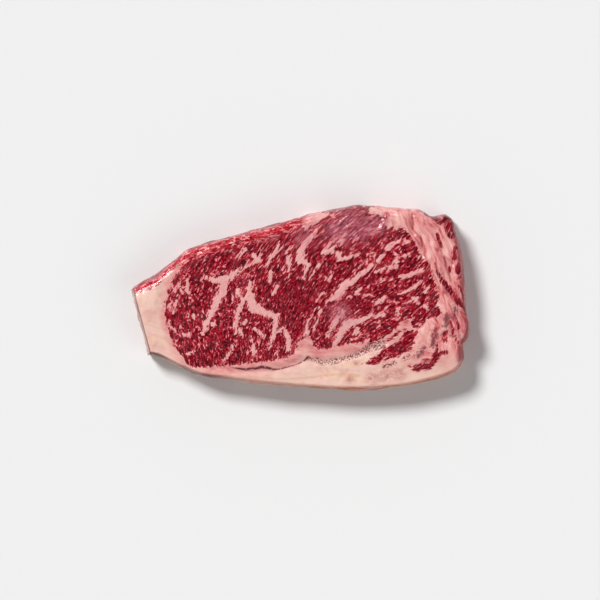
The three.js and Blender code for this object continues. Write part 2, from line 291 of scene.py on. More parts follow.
# Thin dark skin between the lean and the fat cap: a line, then three stretches of specks. A third
# number widens it there, or makes it fainter below 0
SKIN_LINE = [
    (-35.5, -34.9, -0.4), (-30.4, -35.8, 0), (-26.9, -36.3, 0.1), (-24.2, -35.5, 0.1),
    (-22.5, -35.9, 0.1), (-19.2, -34.9, 0.3), (-15.8, -35.5, 0.2), (-13.3, -36.3, 0.1),
    (-10.4, -36.1, -0.1), (-2.1, -34, -0.2), (2.1, -31.9, -0.1), (3.8, -30.3, 0.2),
]
SKIN_SPECKS = [
    [(4, -30.3, -0.1), (8.3, -31.5, 0.1), (11.3, -33, 0), (16, -32.3, 0.5), (21.7, -31.3, 0.2),
     (27.4, -29.4, 0.2), (31, -27.6, 0.4), (35, -25.2, 1.1), (39, -24, 1.3), (41.4, -23.6, 0.8)],
    [(42.2, -34.6), (45, -33.8), (47.4, -33)],
    [(52.2, -30.8), (55.6, -29.2)],
]
# The faint line along the middle of the fat cap
CAP_LINE = [
    (-38, -38.6), (-20, -40.4), (-10, -41.2), (4, -40.4), (12, -39.2), (22, -38.4), (30, -39.6),
]
# Mauve blotches in the fat and the red meat of the thick end, given like the seams
BRUISES = [
    [(77.8, -6.0, 1.4), (76.8, -9.2, 1.4)],
    [(73.6, -9.6, 1.2), (73.0, -14.2, 1.4)],
    [(67.6, -17.6, 0.8), (66.4, -23.8, 1.4)],
    [(62.4, -25.0, 0.8), (59.0, -29.6, 1.2)],
    [(64.6, -32.6, 1.4), (58.8, -35.2, 1.4)],
]
# Round soft patches, by centre and radius: a painted lilac sheen on the lean, lean with little
# fat in it, brown smudges on the fat, and fat that is less pink than what is around it
PAINTED_LILAC_SHEEN = [(25, 36.5, 8), (18, 33, 5), (39.5, 36.5, 5), (31, 34, 5), (2, 30, 4), (20, -8, 5)]
SPARE_FAT = [
    (-47, -29, 9), (-33, -31, 7), (-8, -2, 8), (0, 4, 7), (-3, -12, 6), (8, 25, 3),
    (54.5, -21.5, 3.4), (49, -27, 3.4),
]
BROWN_SMUDGES = [
    (28, -33.2, 1.4), (36, -40.5, 3.4), (43, -39.5, 3.6), (50, -38.8, 3.4), (25, -41, 2.4),
]
PALE_FAT = [(61, -17, 4), (59, -24, 4), (76, -31, 5)]
# Which way the meat's grain runs: places, and the angle from +X in degrees
GRAIN = [
    (-70, 0, 60), (-65, 3, 57), (-65, -8, 81), (-65, -14, 100), (-65, -20, 112),
    (-55, 18, 42), (-45, 31, 30), (-30, 33, 30), (-10, 36, 34), (-50, 3, 66),
    (-50, -11, 78), (-47, -24, 86), (-35, 16, 58), (-32, 4, 70), (-32, -11, 78),
    (-30, -26, 82), (-17, 18, 62), (-17, 3, 72), (-17, -11, 80), (-15, -24, 76),
    (-5, 24, 64), (-2, 8, 70), (-2, -6, 72), (5, 28, 60), (5, 8, 65), (5, -11, 66),
    (15, 33, 48), (17, 13, 52), (20, -6, 50), (30, 28, 46), (30, 13, 44), (30, -6, 38),
    (32, -19, 26), (40, 28, 48), (42, 13, 40), (42, -1, 35), (45, -16, 26), (50, -27, 26),
    (50, 18, 44), (55, 3, 42), (57, -9, 48), (62, 20, 50), (66, 5, 48), (66, -8, 48),
    (60, -34, 26), (30, -36, 30), (0, -40, 70), (-40, -40, 84),
]
# Highest power in the fields fitted to it, how much their spacing counts against their direction,
# how far large terms are held back, and how much shorter the bundles look towards the left end
GRAIN_POWERS = 5
GRAIN_EVENNESS = 0.5
GRAIN_STEADY = 0.0005
SHORT_GRAIN = 0.8


def away_from(x, y, path):
    """Distance from each place to a path, less the path's half width where its points give one."""
    least = np.full(x.shape, np.inf)
    for a, b in zip(path, path[1:]):
        dx, dy = b[0] - a[0], b[1] - a[1]
        along = ((x - a[0]) * dx + (y - a[1]) * dy) / (dx * dx + dy * dy)
        along = np.clip(along, 0, 1)
        far = np.hypot(x - a[0] - along * dx, y - a[1] - along * dy)
        if len(a) == 3:
            far -= a[2] + along * (b[2] - a[2])
        least = np.minimum(least, far)
    return least


def nearest(x, y, paths):
    """Distance to the nearest of several paths."""
    return np.min([away_from(x, y, path) for path in paths], axis=0)


def depth_inside(x, y, rim):
    """Distance to a closed outline, below 0 outside it."""
    closed = [*rim, rim[0]]
    inside = np.zeros(x.shape, bool)
    for (ax, ay), (bx, by) in zip(closed, closed[1:]):
        crosses = (ay > y) != (by > y)
        rise = by - ay if by != ay else 1.0
        inside ^= crosses & (x < (bx - ax) * (y - ay) / rise + ax)
    return np.where(inside, 1, -1) * away_from(x, y, closed)


def smoothstep(value, low, high):
    """0 up to low, 1 from high on, and a smooth rise between them."""
    share = np.clip((value - low) / (high - low), 0, 1)
    return share * share * (3 - 2 * share)


def ridge(x, y, path, width):
    """1 along a path, falling off to both sides of it."""
    return np.exp(-((away_from(x, y, path) / width) ** 2))


def patches(x, y, places):
    """How strongly each place lies in some of the round soft patches, up to 1."""
    found = [np.exp(-((x - px) ** 2 + (y - py) ** 2) / radius**2) for px, py, radius in places]
    return np.clip(np.sum(found, axis=0), 0, 1)


def value_noise(x, y, seed):
    """Smooth noise from -1 to 1 with one random height for each whole x and y."""
    heights = np.random.default_rng(seed).uniform(-1, 1, NOISE_TABLE)
    column, row = np.floor(x).astype(int), np.floor(y).astype(int)
    u, v = smoothstep(x - column, 0, 1), smoothstep(y - row, 0, 1)

    def height(i, j):
        return heights[(column + i) % NOISE_TABLE[0], (row + j) % NOISE_TABLE[1]]

    low = height(0, 0) * (1 - u) + height(1, 0) * u
    high = height(0, 1) * (1 - u) + height(1, 1) * u
    return low * (1 - v) + high * v


def upper_face(x, y):
    """Height of the upper cut face."""
    z = THICKNESS - CROWN * ((x / HALF_LENGTH) ** 2 + (y / HALF_WIDTH) ** 2)
    z -= END_DROP * smoothstep(-x, END_DROP_START, HALF_LENGTH)
    z += FAT_STEP * smoothstep(-depth_inside(x, y, LEAN_RIM), *FAT_STEP_REACH)
    for path, height, width in FOLDS:
        z += height * ridge(x, y, path, width)
    for height, along_x, along_y, phase in SWELLS:
        wave = np.cos(2 * math.pi * y / along_y - phase)
        z += height * np.sin(2 * math.pi * x / along_x + phase) * wave
    return z


def walk(edge, steps):
    """Points evenly spaced along a smooth curve through a side's points, without the last."""
    points = np.array([edge[0], *edge, edge[-1]])
    t = np.linspace(0, 1, CURVE_STEPS, endpoint=False)[:, None]
    stretches = []
    for p0, p1, p2, p3 in zip(points, points[1:], points[2:], points[3:]):
        v1, v2 = (p2 - p0) / 2, (p3 - p1) / 2
        bend = (2 * p1 - 2 * p2 + v1 + v2) * t**3 + (3 * p2 - 3 * p1 - 2 * v1 - v2) * t**2
        stretches.append(bend + v1 * t + p1)
    curve = np.vstack([*stretches, points[-1:]])
    run = np.concatenate([[0], np.cumsum(np.hypot(*np.diff(curve, axis=0).T))])
    at = np.linspace(0, run[-1], steps, endpoint=False)
    return np.column_stack([np.interp(at, run, curve[:, 0]), np.interp(at, run, curve[:, 1])])


def evened(row, reach):
    """A closed row of values, each averaged with its neighbours out to about reach steps."""
    furthest = math.ceil(AVERAGE_STOP * reach)
    shifts = np.arange(-furthest, furthest + 1)
    weights = np.exp(-((shifts / reach) ** 2) / 2)
    total = sum(w * np.roll(row, s, axis=0) for s, w in zip(shifts, weights))
    return total / weights.sum()


def perimeter():
    """The edge from above, anticlockwise: places, outward directions, sections and turn."""
    sides = [(FAT_CAP, COLUMNS), (THICK_END, ROWS), (TRIMMED_SIDE, COLUMNS), (CUT_END, ROWS)]
    places = np.vstack([walk(side["edge"], steps) for side, steps in sides])
    sections = np.vstack([np.tile(side["section"], (steps, 1)) for side, steps in sides])
    along = np.roll(places, -1, axis=0) - np.roll(places, 1, axis=0)
    outward = np.column_stack([along[:, 1], -along[:, 0]])
    outward /= np.linalg.norm(outward, axis=1)[:, None]
    step = np.hypot(*along.T).mean() / 2
    outward = evened(outward, NORMAL_REACH / step)
    outward /= np.linalg.norm(outward, axis=1)[:, None]
    turn = 2 * math.pi * np.arange(len(places)) / len(places)
    return places, outward, evened(sections, SIDE_REACH / step), turn


def wall_unevenness(turn, height):
    """How far the wall stands in or out, none at the two faces. Its noise closes on itself because
    it takes the noise table's columns a whole number of times around the steak."""
    waves = sum(d * np.sin(n * turn + s * height * math.pi) for d, n, s in WALL_WAVES)
    around, up = turn / (2 * math.pi), height * WALL_NOISE_ROWS
    columns = NOISE_TABLE[0]
    fine = 0.22 * value_noise(around * columns, up, 11)
    fine += 0.12 * value_noise(around * (3 * columns), up * 2.3, 12)
    return (waves + fine) * np.sin(math.pi * height)


def wall_ring(rim, step):
    """A ring of the wall, from step 0 on the upper face to WALL_STEPS on the lower one."""
    places, outward, sections, turn = rim
    shoulder, tuck, widest, boxiness = sections.T
    angle = math.pi / 2 * (1 - 2 * step / WALL_STEPS)
    level = abs(math.sin(angle)) ** (2 / boxiness)
    reach = abs(math.cos(angle)) ** (2 / boxiness)
    edge = places - outward * shoulder[:, None]
    full = upper_face(*edge.T)
    height = widest + (1 - widest) * level if angle >= 0 else widest * (1 - level)
    inset = (shoulder if angle >= 0 else tuck) * (1 - reach)
    ends = step in (0, WALL_STEPS)
    uneven = 0 if ends else wall_unevenness(turn, height) - WALL_INSET
    at = places + outward * (uneven - inset)[:, None]
    return np.column_stack([at, height * full])


def face_grid(ring):
    """Plan places spread between the four sides of a face's rim."""
    corners = ring[[0, COLUMNS, COLUMNS + ROWS, 2 * COLUMNS + ROWS]]
    bottom = ring[: COLUMNS + 1]
    right = ring[COLUMNS : COLUMNS + ROWS + 1]
    top = ring[COLUMNS + ROWS : 2 * COLUMNS + ROWS + 1][::-1]
    left = np.vstack([ring[2 * COLUMNS + ROWS :], ring[:1]])[::-1]
    u = np.linspace(0, 1, COLUMNS + 1)[None, :, None]
    v = np.linspace(0, 1, ROWS + 1)[:, None, None]
    spread = bottom[None] * (1 - v) + top[None] * v + left[:, None] * (1 - u) + right[:, None] * u
    spread -= corners[0] * (1 - u) * (1 - v) + corners[1] * u * (1 - v)
    spread -= corners[2] * u * v + corners[3] * (1 - u) * v
    return spread.reshape(-1, 2)


def grid_rim():
    """Place in a face's grid of each point of its rim, in the ring's order."""
    at = np.arange((ROWS + 1) * (COLUMNS + 1)).reshape(ROWS + 1, COLUMNS + 1)
    return np.concatenate([at[0, :-1], at[:-1, -1], at[-1, :0:-1], at[:0:-1, 0]])


def grain_fields(x, y):
    """How far along and across the grain each place lies: two fields whose slopes fit GRAIN."""
    powers = [(i, j) for i in range(GRAIN_POWERS + 1) for j in range(GRAIN_POWERS + 1 - i)][1:]
    px, py, angle = np.array(GRAIN, float).T
    angle = np.radians(angle)
    even = np.ones(len(angle))
    short = 1 + SHORT_GRAIN * smoothstep(-px, 0, 30) * smoothstep(-py, -30, -10)
    px, py = px / HALF_LENGTH, py / HALF_WIDTH
    slope_x = np.array([i * px ** max(i - 1, 0) * py**j for i, j in powers]) / HALF_LENGTH
    slope_y = np.array([j * px**i * py ** max(j - 1, 0) for i, j in powers]) / HALF_WIDTH
    steady = np.diag([GRAIN_STEADY * (i + j) for i, j in powers])
    terms = np.array([(x / HALF_LENGTH) ** i * (y / HALF_WIDTH) ** j for i, j in powers])
    fields = []
    for turn, rise in ((0, short), (math.pi / 2, even)):
        way_x, way_y = np.cos(angle + turn), np.sin(angle + turn)
        climb = (slope_x * way_x + slope_y * way_y).T
        level = (slope_y * way_x - slope_x * way_y).T
        wanted = np.concatenate([GRAIN_EVENNESS * rise, 0 * rise, np.zeros(len(powers))])
        rows = np.vstack([GRAIN_EVENNESS * climb, level, steady])
        fields.append(np.linalg.lstsq(rows, wanted, rcond=None)[0] @ terms)
    return fields


def relief(x, y, along, across):
    """Fine unevenness of the cut face: proud fat seams, muscle bundles, lumps and juice beads."""
    lean = smoothstep(depth_inside(x, y, EYE), -0.5, 1.0)
    seams = smoothstep(-nearest(x, y, FAT_SEAMS), -0.6, 0.8)
    bundles = value_noise(along / 4.5, across / 1.7, 21)
    bundles += 0.6 * value_noise(along / 2.6, across, 22)
    lumps = value_noise(along / 7, across / 3.4, 23)
    lumps += 0.5 * value_noise(along / 3, across / 1.6, 24)
    fine = lean * (0.09 * bundles * (1 - seams) + 0.16 * seams) + (1 - lean) * 0.13 * lumps
    beads = [height * ridge(x, y, path, width) for path, height, width in WET_BEADS]
    return fine + np.sum(beads, axis=0)


def in_chart(chart, across, up):
    """Flat places in a chart, given as shares of its width and height."""
    left, bottom, right, top = chart
    return np.column_stack([left + (right - left) * across, bottom + (top - bottom) * up])


def face_layout(places, chart):
    """Flat places of a face's points, spread over its chart."""
    shares = (places - places.min(axis=0)) / np.ptp(places, axis=0)
    return in_chart(chart, *shares.T)


def wall_layout(high, low):
    """Flat places of the four corners of each face in one ring of the wall."""
    sides = []
    for chart, steps in zip(WALL_CHARTS, (COLUMNS, ROWS, COLUMNS, ROWS)):
        here = np.arange(steps) / steps
        ahead = here + 1 / steps
        corners = [(ahead, high), (here, high), (here, low), (ahead, low)]
        sides.append(np.stack([in_chart(chart, u, np.full(steps, v)) for u, v in corners], axis=1))
    return np.vstack(sides)


def skin():
    """The skin's points in millimetres, the faces between them and their corners' flat places."""
    rim = perimeter()
    rings = [wall_ring(rim, step) for step in range(WALL_STEPS + 1)]
    upper = face_grid(rings[0][:, :2])
    lower = face_grid(rings[-1][:, :2])
    upper_flat, lower_flat = face_layout(upper, UPPER_CHART), face_layout(lower, LOWER_CHART)
    heights = upper_face(*upper.T) + relief(*upper.T, *grain_fields(*upper.T))
    upper = np.column_stack([upper, heights])
    lower = np.column_stack([lower, np.zeros(len(lower))])
    points = np.vstack([upper, *rings[1:-1], lower])
    lower_start = len(points) - len(lower)

    a = np.arange(ROWS * (COLUMNS + 1)).reshape(ROWS, COLUMNS + 1)[:, :-1].ravel()
    d = a + COLUMNS + 1
    quads = [np.column_stack([a, a + 1, d + 1, d])]
    quads.append(lower_start + np.column_stack([d, d + 1, a + 1, a]))
    flat = [upper_flat[quads[0]], lower_flat[quads[1] - lower_start]]
    middle = [len(upper) + k * len(rim[0]) + np.arange(len(rim[0])) for k in range(WALL_STEPS - 1)]
    loops = [grid_rim(), *middle, lower_start + grid_rim()]
    drops = [np.linalg.norm(a - b, axis=1).mean() for a, b in zip(rings, rings[1:])]
    level = 1 - np.concatenate([[0], np.cumsum(drops)]) / np.sum(drops)
    for step, (above, below) in enumerate(zip(loops, loops[1:])):
        ahead, under = np.roll(above, -1), np.roll(below, -1)
        quads.append(np.column_stack([ahead, above, below, under]))
        flat.append(wall_layout(level[step], level[step + 1]))
    return points, np.vstack(quads), np.vstack(flat)


def keep_field(mesh, name, values):
    """Stores a field on the mesh's points: one number for each, or three."""
    kind = "FLOAT_VECTOR" if values.ndim == 2 else "FLOAT"
    attribute = mesh.attributes.new(name, kind, "POINT")
    key = "vector" if values.ndim == 2 else "value"
    attribute.data.foreach_set(key, values.astype(np.float32).ravel())


def paint_fields(mesh, points):
    """The fields that the material reads. Seams drift sideways on their way down the meat."""
    x, y, z = points.T
    depth = (THICKNESS - z) / THICKNESS
    drift = DRIFT * value_noise(x / DRIFT_SPAN, y / DRIFT_SPAN, 31) + DRIFT_MEAN[0]
    x = x + depth * drift
    drift = DRIFT * value_noise(x / DRIFT_SPAN, y / DRIFT_SPAN, 32) + DRIFT_MEAN[1]
    y = y + depth * drift

    def on_top(least, low, high):
        """1 on the cut face, down to the least between two depths, given as shares."""
        return 1 - (1 - least) * smoothstep(depth, low, high)

    # Distances to the sides. The fat's own grain runs along the nearest of them, for which the
    # trimmed side no longer counts towards the thick end
    rim = away_from(x, y, TRIMMED_SIDE["edge"])
    end = away_from(x, y, THICK_END["edge"][1:])
    cap = away_from(x, y, FAT_CAP["edge"])
    side = np.minimum(np.minimum(cap, rim + 60 * smoothstep(x, 20, 45)), end)
    along, across = grain_fields(x, y)
    eye = depth_inside(x, y, EYE)

    # Juice on the beads and on the wet slope; red meat along the trimmed side and on the wedge
    beads = [ridge(x, y, path, 1.6 * width) for path, _, width in WET_BEADS]
    slope = 1 - smoothstep(away_from(x, y, WET_SLOPE), -0.8, 1.2)
    band = (1 - smoothstep(rim, 3.5, 9.0)) * (1 - smoothstep(x, -4, 12))
    wedge = (1 - smoothstep(rim, 3.6, 6.0)) * smoothstep(-x, 57, 65)
    band = np.maximum(band * (1 - smoothstep(-x, 58, 66)), wedge)

    # Pink fat below and left of the lean, and pink and streaky fat at the thick end
    near_lean = smoothstep(eye, -8.0, -1.5) * smoothstep(-y, 14, 20) * smoothstep(x, -56, -40)
    near_lean *= 1 - 0.6 * smoothstep(x, 26, 42)
    near_lean = np.maximum(near_lean, 0.7 * smoothstep(eye, -4.5, -0.5) * smoothstep(-x, 52, 60))
    paler = 1 - 0.55 * patches(x, y, PALE_FAT)
    rosy = smoothstep(x, 30, 62) * smoothstep(y, -42, -28)
    streaky = smoothstep(x, 42, 58) * smoothstep(y, -36, -24) * paler
    streaky = np.maximum(streaky, smoothstep(x, 34, 42) * smoothstep(y, 32, 38))

    # Darker red at the thick end's rim. At the fat cap's rim: orange-brown, partly dried fat and
    # partly painted shade, and towards the cut end painted shade of a dark red-brown
    ruddy = 1 - smoothstep(end, 1.5, 6.0)
    browned_and_painted_shade = (1 - smoothstep(cap, 0.6, 2.8)) * smoothstep(x, -60, -10)
    painted_rim_shade = (1 - smoothstep(cap, 1.2, 2.6)) * smoothstep(-x, 24, 48)

    fields = {
        "grain": np.column_stack([along, across, z]),
        "fat_grain": np.column_stack([x + y, side, z]),
        "lean": np.maximum(eye, depth_inside(x, y, SMALL_MUSCLE)),
        "seam": nearest(x, y, FAT_SEAMS),
        "fleck": nearest(x, y, RED_FLECKS),
        "crease_shade": nearest(x, y, SHADED_CREASES),
        "skin_line": away_from(x, y, SKIN_LINE),
        "skin_specks": nearest(x, y, SKIN_SPECKS),
        # Painted reflection: the lilac sheen, on the cut face only
        "painted_sheen": patches(x, y, PAINTED_LILAC_SHEEN) * on_top(0, 0.1, 0.4),
        "bruise": nearest(x, y, BRUISES) + 6 * smoothstep(depth, 0.1, 0.6),
        "spare": patches(x, y, SPARE_FAT),
        "smudge": patches(x, y, BROWN_SMUDGES) * on_top(0, 0.1, 0.4),
        "cap_line": away_from(x, y, CAP_LINE) + 6 * smoothstep(depth, 0.1, 0.6),
        "dry": smoothstep(depth, 0.03, 0.15) * smoothstep(rim, 4.0, 8.0),
        "wet": np.clip(np.maximum(np.sum(beads, axis=0), slope), 0, 1),
        "band": band * on_top(0.25, 0.15, 0.4),
        "cut_side": away_from(*points[:, :2].T, CUT_END["edge"]),
        "rosy": np.maximum(rosy, near_lean) * paler,
        "streaky": np.maximum(streaky, 0.45 * near_lean),
        "ruddy": ruddy * on_top(0.4, 0.15, 0.5),
        # Orange-brown on the cap's rim, partly painted shade; then painted shade towards the cut
        # end
        "browned_and_painted_shade": browned_and_painted_shade * on_top(0.25, 0.2, 0.55),
        "painted_rim_shade": painted_rim_shade * on_top(0.3, 0.2, 0.6),
    }
    for name, values in fields.items():
        keep_field(mesh, name, values)


def linear(red, green, blue):
    """A colour given in screen values from 0 to 255, as Blender's nodes want it."""
    shares = [c / 255 for c in (red, green, blue)]
    return (*[s / 12.92 if s <= 0.04045 else ((s + 0.055) / 1.055) ** 2.4 for s in shares], 1)


class Nodes:
    """Short ways to add nodes to a tree. An input that is a socket is linked, any other is set."""

    def __init__(self, tree):
        self.tree = tree

    def add(self, kind, inputs=None, **settings):
        node = self.tree.nodes.new("ShaderNode" + kind)
        for name, value in settings.items():
            setattr(node, name, value)
        for key, value in (inputs or {}).items():
            if isinstance(value, bpy.types.NodeSocket):
                self.tree.links.new(value, node.inputs[key])
            else:
                node.inputs[key].default_value = value
        return node

    def field(self, name, output="Fac"):
        return self.add("Attribute", attribute_name=name).outputs[output]

    def math(self, operation, *values, clamp=False):
        inputs = dict(enumerate(values))
        return self.add("Math", inputs, operation=operation, use_clamp=clamp).outputs[0]

    def product(self, value, *factors):
        for factor in factors:
            value = self.math("MULTIPLY", value, factor)
        return value

    def above(self, value, middle, factor):
        """How far a value lies above the middle, times the factor."""
        return self.product(self.math("SUBTRACT", value, middle), factor)

    def vector(self, operation, a, b):
        return self.add("VectorMath", {0: a, 1: b}, operation=operation).outputs[0]

    def noise(self, at, stretch, detail=2.0, roughness=0.5, output="Fac"):
        """Noise from 0 to 1. Stretch is its waves in a millimetre, one number or one each way."""
        if isinstance(stretch, tuple):
            at, stretch = self.vector("MULTIPLY", at, stretch), 1.0
        inputs = {"Vector": at, "Scale": stretch, "Detail": detail, "Roughness": roughness}
        return self.add("TexNoise", inputs).outputs[output]

    def shifted(self, at, scale, detail, reach):
        """A place moved about by noise, up to half of reach each way."""
        drift = self.noise(at, scale, detail, output="Color")
        drift = self.vector("SUBTRACT", drift, (0.5, 0.5, 0.5))
        return self.vector("ADD", at, self.vector("MULTIPLY", drift, reach))

    def span(self, value, low, high, to_low=0.0, to_high=1.0, smooth=True):
        """Carries low..high over to to_low..to_high and stops at both ends."""
        kind = "SMOOTHSTEP" if smooth else "LINEAR"
        inputs = {0: value, 1: low, 2: high, 3: to_low, 4: to_high}
        return self.add("MapRange", inputs, interpolation_type=kind).outputs[0]

    def mix(self, share, a, b):
        """Colour a where the share is 0 and colour b where it is 1."""
        return self.add("Mix", {"Factor": share, 6: a, 7: b}, data_type="RGBA").outputs[2]

    def over(self, base, colour, *shares):
        """Lays a colour, in screen values, over a base by the product of the shares."""
        return self.mix(self.product(*shares), base, linear(*colour))

    def ramp(self, value, stops):
        """Colours in screen values at their places, and a blend between them."""
        node = self.add("ValToRGB", {0: value})
        elements = node.color_ramp.elements
        stops = [(place, linear(*colour)) for place, colour in stops]
        elements[0].position, elements[0].color = stops[0]
        elements[1].position, elements[1].color = stops[-1]
        for place, colour in stops[1:-1]:
            elements.new(place).color = colour
        return node.outputs["Color"]


def marbling(n, grain):
    """How far each spot lies inside lean meat, in millimetres, below 0 in fat; how far from its
    bundle's edge; its bundle's random shade; and pale streaks along the grain."""
    wandered = n.shifted(grain, 0.25, 2.0, (2.4, 1.6, 2.4))
    fine_at = n.shifted(wandered, 1.3, 1.0, (0.7, 0.5, 0.6))
    bundle_at = n.vector("MULTIPLY", fine_at, (0.40, 0.86, 0.10))
    bundle = n.add("TexVoronoi", {"Vector": bundle_at, "Scale": 1.0}, feature="F1")
    shade = n.add("SeparateColor", {0: bundle.outputs["Color"]})
    edge = n.math("SUBTRACT", n.noise(fine_at, (0.38, 1.25, 0.14), 1.0), 0.5)
    edge = n.product(n.math("ABSOLUTE", edge), 2.0)
    uneven = n.above(shade.outputs[0], 0.42, 1.5)
    spare, seam = n.field("spare"), n.field("seam")

    # Thin fat between the bundles, wider near the seams and narrower in the patches with little
    thin = n.noise(grain, (0.14, 0.34, 0.08), 2.0, 0.55)
    thin = n.math("SUBTRACT", thin, n.product(spare, 0.10))
    thin = n.math("ADD", thin, n.span(seam, 0.0, 2.0, 0.05, 0.0))
    vein = n.span(thin, 0.46, 0.74, -0.12, 0.16)
    vein_side = n.above(edge, vein, 1.3)

    # Thicker branching fat between groups of bundles, with gaps
    group_at = n.vector("MULTIPLY", wandered, (0.15, 0.38, 0.06))
    group = n.add("TexVoronoi", {"Vector": group_at, "Scale": 1.0}, feature="DISTANCE_TO_EDGE")
    width = n.span(n.noise(grain, (0.12, 0.3, 0.06), 2.0), 0.44, 0.72, -0.34, 0.44)
    width = n.math("SUBTRACT", width, n.product(spare, 0.5))
    group_side = n.math("SUBTRACT", n.product(group.outputs["Distance"], 2.6), width)

    # Short flecks in the palest streaks, pulled out along the grain
    streak = n.noise(fine_at, (0.34, 1.2, 0.14), 2.0, 0.6)
    short_side = n.math("SUBTRACT", n.product(spare, 0.05), streak)
    short_side = n.above(short_side, -0.642, 5.0)

    # The drawn seams and the muscles' own outlines, frayed along the grain
    ragged = n.math("ADD", n.product(uneven, 0.6), n.above(streak, 0.48, -4.5))
    group_side = n.math("ADD", group_side, n.product(ragged, 0.25))
    seam_side = n.math("ADD", seam, ragged)
    rim_side = n.math("ADD", n.field("lean"), ragged)
    flecks = n.math("MINIMUM", n.math("MINIMUM", group_side, short_side), vein_side)
    inside = n.math("MINIMUM", flecks, n.math("MINIMUM", seam_side, rim_side))

    # Red meat left in the fat, frayed along the fat's own grain
    strands = n.noise(n.field("fat_grain", "Vector"), (0.2, 1.0, 0.4), 3.0)
    frayed = n.math("ADD", n.above(strands, 0.5, 4.0), n.product(uneven, 0.4))
    red_side = n.above(frayed, n.field("fleck"), 0.5)
    inside = n.math("MAXIMUM", inside, n.math("MINIMUM", red_side, 0.3))
    return inside, edge, shade.outputs[1], streak


def lean_colour(n, grain, inside, edge, shade, streak):
    """The lean, palest where it is thin over fat and darkest in the middle of a bundle."""
    meat = n.ramp(n.span(inside, -0.6, 0.6, smooth=False), [
        (0.0, (226, 168, 164)), (0.28, (220, 152, 150)), (0.42, (212, 116, 122)),
        (0.49, (178, 28, 48)), (0.57, (136, 3, 27)), (0.74, (112, 1, 22)), (1.0, (100, 1, 19)),
    ])
    lean_only = n.span(inside, 0.02, 0.2)
    meat = n.over(meat, (70, 1, 13), n.span(shade, 0.3, 1.0, 0.0, 0.4), lean_only)

    # Dark cores, crimson fibres and pale specks along the grain
    mottle = n.noise(grain, (0.29, 1.5, 0.5), 1.0, 0.6)
    meat = n.over(meat, (50, 0, 9), n.span(mottle, 0.38, 0.48, 0.75, 0.0), lean_only)
    meat = n.over(meat, (172, 12, 36), n.span(mottle, 0.50, 0.58, 0.0, 0.75), lean_only)
    calm = n.span(n.noise(grain, (0.06, 0.12, 0.06), 2.0), 0.42, 0.56, 0.35, 0.95)
    meat = n.over(meat, (232, 146, 150), lean_only, calm, n.span(mottle, 0.64, 0.69))

    # Pink skin between the bundles, and meat that shows through the seams
    between = n.span(edge, 0.0, 0.07, 1.0, 0.0)
    pale_streak = n.span(streak, 0.47, 0.58, 0.05, 0.8)
    meat = n.over(meat, (220, 112, 122), between, pale_streak, lean_only)
    in_seam = n.span(inside, -0.4, -0.1, 1.0, 0.0)
    return n.over(meat, (208, 132, 132), n.span(mottle, 0.44, 0.62, 0.0, 0.5), in_seam)


def fat_colour(n, grain, fat_grain):
    """The fat, cream on the cap, rosier by the lean, streaky at the thick end, darker at rims;
    painted shade darkens some of the rims and the creases.
    """
    rosy = n.field("rosy")
    clouds = n.above(n.noise(fat_grain, 0.09, 3.0), 0.5, 1.4)
    rosiness = n.math("ADD", rosy, clouds, clamp=True)
    fat = n.mix(rosiness, linear(232, 192, 178), linear(214, 144, 140))
    streaks = n.noise(fat_grain, (0.08, 0.5, 0.1), 4.0, 0.6)
    fat = n.over(fat, (206, 132, 128), n.span(streaks, 0.5, 0.78, 0.0, 0.45))
    fat = n.over(fat, (244, 214, 192), n.span(streaks, 0.2, 0.45, 0.5, 0.0))
    yellowed = n.span(n.noise(fat_grain, (0.03, 0.16, 0.1), 2.0), 0.48, 0.66, 0.0, 0.4)
    fat = n.over(fat, (236, 200, 160), yellowed, n.span(rosy, 0.0, 0.4, 1.0, 0.0))
    stains = n.span(n.noise(grain, 0.13, 4.0, 0.65), 0.54, 0.68, 0.0, 0.3)
    fat = n.over(fat, (196, 128, 116), stains)
    fat = n.over(fat, (212, 156, 122), n.span(n.field("cap_line"), 0.0, 1.0, 0.4, 0.0))
    brushed = n.span(n.noise(fat_grain, (0.35, 0.8, 0.3), 3.0, 0.6), 0.34, 0.6, 0.15, 0.75)
    fat = n.over(fat, (180, 106, 100), n.field("smudge"), brushed)

    # Strands of pale fat, pink tissue and red at the thick end
    threads = n.noise(fat_grain, (0.13, 0.34, 0.2), 5.0, 0.64)
    thick_end = n.ramp(threads, [
        (0.34, (237, 188, 179)), (0.45, (226, 157, 152)), (0.53, (214, 128, 128)),
        (0.60, (190, 84, 90)), (0.68, (150, 36, 50)),
    ])
    fat = n.mix(n.product(n.field("streaky"), 0.9), fat, thick_end)
    # Painted shade, dark red, in the creases
    painted_crease_shade = n.span(n.field("crease_shade"), 0.0, 1.0, 0.9, 0.0)
    fat = n.over(fat, (144, 34, 46), painted_crease_shade, n.span(threads, 0.34, 0.48))
    fat = n.over(fat, (150, 50, 56), n.field("ruddy"), n.span(threads, 0.3, 0.56, 0.3, 0.95))
    # The fat cap's rim: orange-brown, partly dried fat and partly painted shade
    rim_mottle = n.span(n.noise(fat_grain, (0.12, 0.4, 0.5), 3.0, 0.6), 0.38, 0.58, 0.5, 1.0)
    fat = n.over(fat, (184, 96, 62), n.field("browned_and_painted_shade"), rim_mottle)
    # Painted shade, dark red-brown, on the cap's rim towards the cut end
    return n.over(fat, (112, 48, 44), n.field("painted_rim_shade"), rim_mottle)


def with_skin(n, grain, fat):
    """The fat with the thin dark skin over it, as a broken line and as bands of specks."""
    line = n.field("skin_line")
    broken = n.span(n.noise(grain, 0.6, 2.0), 0.30, 0.44)
    fat = n.over(fat, (180, 96, 92), n.span(line, 0.3, 1.4, 0.35, 0.0))
    fat = n.over(fat, (88, 42, 52), n.span(line, 0.2, 0.65, 0.95, 0.0), broken)
    band = n.span(n.field("skin_specks"), 0.7, 1.7, 0.9, 0.0)
    specks = n.span(n.noise(grain, (0.9, 1.3, 1.0), 2.0), 0.47, 0.55)
    fat = n.over(fat, (178, 112, 110), band, 0.1)
    return n.over(fat, (104, 40, 46), specks, band)


